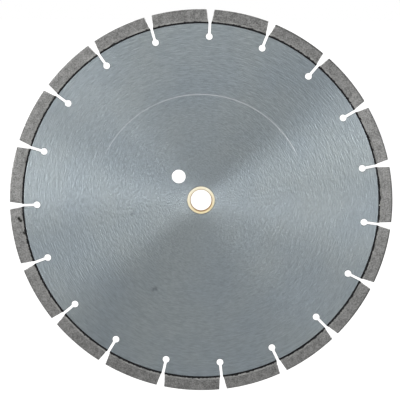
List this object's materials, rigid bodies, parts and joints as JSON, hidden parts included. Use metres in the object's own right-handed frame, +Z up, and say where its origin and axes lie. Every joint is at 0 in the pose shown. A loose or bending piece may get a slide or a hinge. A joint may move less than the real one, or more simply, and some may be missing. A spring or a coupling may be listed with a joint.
{
  "type": "diamond blade",
  "caption": "Segmented diamond saw blade for masonry and concrete: steel core with keyhole slots, welded segments, drive pin hole and a removable arbor bush.",
  "frame": {"origin": "middle of the arbor hole, at half the core's thickness", "axes": "the blade stands upright: +Y is its axis, the front face looks towards -Y, +Z is up, and the drive pin hole lies up and towards -X"},
  "size_m": [0.3556, 0.0032, 0.3556],
  "materials": {
    "steel": "ground, fine circular lines",
    "diamond_matrix": "sintered metal with diamond grit, rough",
    "foot_metal": "ground sintered metal without diamond",
    "weld_metal": "weld bead darkened by heat, rough",
    "brass": "turned, bright"
  },
  "bodies": {
    "blade": {"steel_core": "steel", "segment_01": "diamond_matrix", "segment_02": "diamond_matrix", "segment_03": "diamond_matrix", "segment_04": "diamond_matrix", "segment_05": "diamond_matrix", "segment_06": "diamond_matrix", "segment_07": "diamond_matrix", "segment_08": "diamond_matrix", "segment_09": "diamond_matrix", "segment_10": "diamond_matrix", "segment_11": "diamond_matrix", "segment_12": "diamond_matrix", "segment_13": "diamond_matrix", "segment_14": "diamond_matrix", "segment_15": "diamond_matrix", "segment_16": "diamond_matrix", "segment_17": "diamond_matrix", "segment_18": "diamond_matrix", "segment_19": "diamond_matrix", "segment_foot_01": "foot_metal", "segment_foot_02": "foot_metal", "segment_foot_03": "foot_metal", "segment_foot_04": "foot_metal", "segment_foot_05": "foot_metal", "segment_foot_06": "foot_metal", "segment_foot_07": "foot_metal", "segment_foot_08": "foot_metal", "segment_foot_09": "foot_metal", "segment_foot_10": "foot_metal", "segment_foot_11": "foot_metal", "segment_foot_12": "foot_metal", "segment_foot_13": "foot_metal", "segment_foot_14": "foot_metal", "segment_foot_15": "foot_metal", "segment_foot_16": "foot_metal", "segment_foot_17": "foot_metal", "segment_foot_18": "foot_metal", "segment_foot_19": "foot_metal", "weld_seam_01": "weld_metal", "weld_seam_02": "weld_metal", "weld_seam_03": "weld_metal", "weld_seam_04": "weld_metal", "weld_seam_05": "weld_metal", "weld_seam_06": "weld_metal", "weld_seam_07": "weld_metal", "weld_seam_08": "weld_metal", "weld_seam_09": "weld_metal", "weld_seam_10": "weld_metal", "weld_seam_11": "weld_metal", "weld_seam_12": "weld_metal", "weld_seam_13": "weld_metal", "weld_seam_14": "weld_metal", "weld_seam_15": "weld_metal", "weld_seam_16": "weld_metal", "weld_seam_17": "weld_metal", "weld_seam_18": "weld_metal", "weld_seam_19": "weld_metal"},
    "bush": {"reducing_bush": "brass"}
  },
  "joints": [
    {"name": "bush_push_out", "type": "slide", "parent": "blade", "child": "bush", "axis": [0, -1, 0], "range_m": [0, 0.012]}
  ]
}
